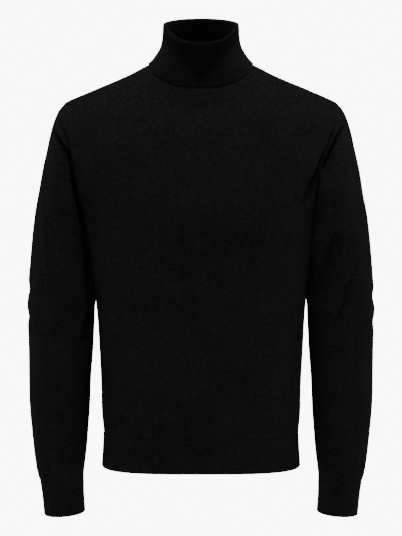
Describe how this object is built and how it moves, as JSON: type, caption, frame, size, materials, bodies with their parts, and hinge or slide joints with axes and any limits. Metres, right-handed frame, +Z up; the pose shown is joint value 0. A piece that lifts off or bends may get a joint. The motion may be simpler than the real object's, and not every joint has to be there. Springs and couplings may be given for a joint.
{
  "type": "roll-neck sweater",
  "caption": "Close-fitting roll-neck sweater in fine black knit, filled out as worn: long set-in sleeves with cuffs, a hem band and a ribbed neck tube folded down over itself.",
  "frame": {"origin": "middle of the neck at the height of the side neck points, where the wearer's shoulders carry the cloth", "axes": "+Z up along the wearer's neck, +X towards the wearer's left arm, +Y towards the back"},
  "size_m": [0.572, 0.2513, 0.8197],
  "materials": {
    "knit": "fine plain knit, soft and matt, black",
    "rib": "fine rib knit, soft and matt, black"
  },
  "bodies": {
    "root": {"front_panel": "knit", "back_panel": "knit", "left_sleeve": "knit", "right_sleeve": "knit", "front_hem_band": "rib", "back_hem_band": "rib", "left_cuff": "rib", "right_cuff": "rib", "neck_tube": "rib"}
  },
  "joints": []
}
